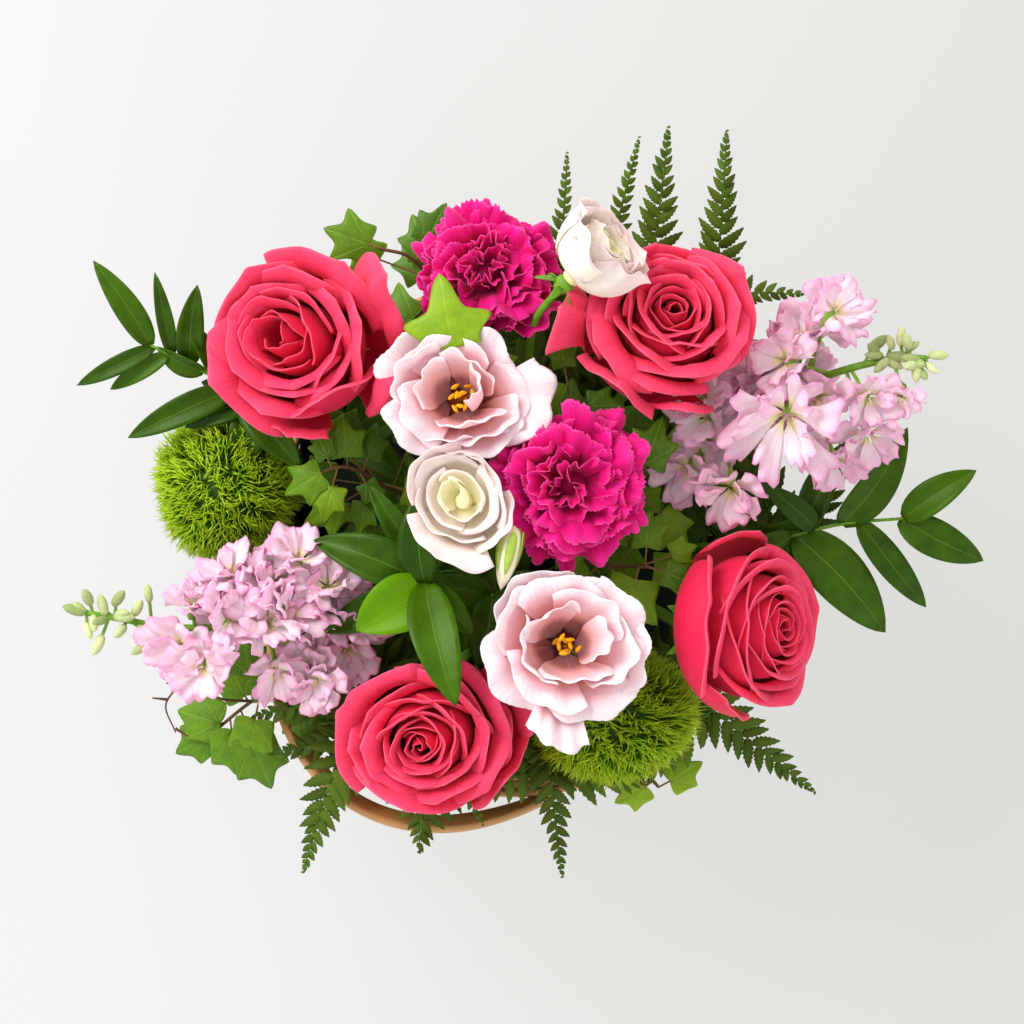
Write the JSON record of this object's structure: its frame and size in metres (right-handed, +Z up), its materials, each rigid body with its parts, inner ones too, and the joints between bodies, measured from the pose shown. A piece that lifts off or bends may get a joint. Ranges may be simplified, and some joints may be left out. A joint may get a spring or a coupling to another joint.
{
  "type": "flower basket arrangement",
  "caption": "Round splint basket with two ear handles, filled with roses, carnations, lisianthus, stock, green balls and foliage standing in foam.",
  "frame": {"origin": "middle of the flat bottom of the basket, where it stands", "axes": "+Z up, +X along the longest side of the arrangement, from the left stock spike to the right ruscus spray, +Y to the top of the picture"},
  "size_m": [0.4253, 0.354, 0.2825],
  "materials": {
    "splint": "satin split wood",
    "hoop": "satin bent wood",
    "liner": "thin dark film",
    "foam": "matte wet foam",
    "stem": "matte green stem",
    "rose": "velvety petal",
    "carnation": "velvety petal",
    "blush": "soft thin petal",
    "cream": "soft thin petal",
    "stamen": "powdery",
    "moss": "fine matte bracts",
    "stock": "soft thin petal",
    "ruscus": "waxy leaf",
    "ivy": "waxy leaf",
    "fern": "leathery leaf"
  },
  "bodies": {
    "root": {"basket": "splint", "carnation_middle_petals": "carnation", "carnation_middle_stem": "stem", "carnation_top_petals": "carnation", "carnation_top_stem": "stem", "fern_bottom_1": "fern", "fern_bottom_2": "fern", "fern_bottom_3": "fern", "fern_left_1": "fern", "fern_left_2": "fern", "fern_lower_left": "fern", "fern_lower_right": "fern", "fern_right": "fern", "fern_top_1": "fern", "fern_top_2": "fern", "fern_top_3": "fern", "fern_top_4": "fern", "fern_top_5": "fern", "foam": "foam", "green_ball_left": "moss", "green_ball_lower": "moss", "handle_back": "hoop", "handle_front": "hoop", "ivy_above_middle": "ivy", "ivy_left": "ivy", "ivy_lower_left": "ivy", "ivy_lower_right": "ivy", "ivy_lower_right_of_middle": "ivy", "ivy_over_carnation": "ivy", "ivy_right_of_middle": "ivy", "ivy_top_left": "ivy", "liner": "liner", "lisianthus_cream_middle_petals": "cream", "lisianthus_cream_middle_stem": "stem", "lisianthus_cream_top_petals": "cream", "lisianthus_cream_top_stem": "stem", "lisianthus_lower_petals": "blush", "lisianthus_lower_stamens": "stamen", "lisianthus_lower_stem": "stem", "lisianthus_upper_petals": "blush", "lisianthus_upper_stamens": "stamen", "lisianthus_upper_stem": "stem", "rim_inner": "hoop", "rim_outer": "hoop", "rose_bottom_petals": "rose", "rose_bottom_stem": "stem", "rose_right_petals": "rose", "rose_right_stem": "stem", "rose_upper_left_petals": "rose", "rose_upper_left_stem": "stem", "rose_upper_right_petals": "rose", "rose_upper_right_stem": "stem", "ruscus_inner": "ruscus", "ruscus_left": "ruscus", "ruscus_middle": "ruscus", "ruscus_right": "ruscus", "stock_left": "stock", "stock_right": "stock"}
  },
  "joints": []
}
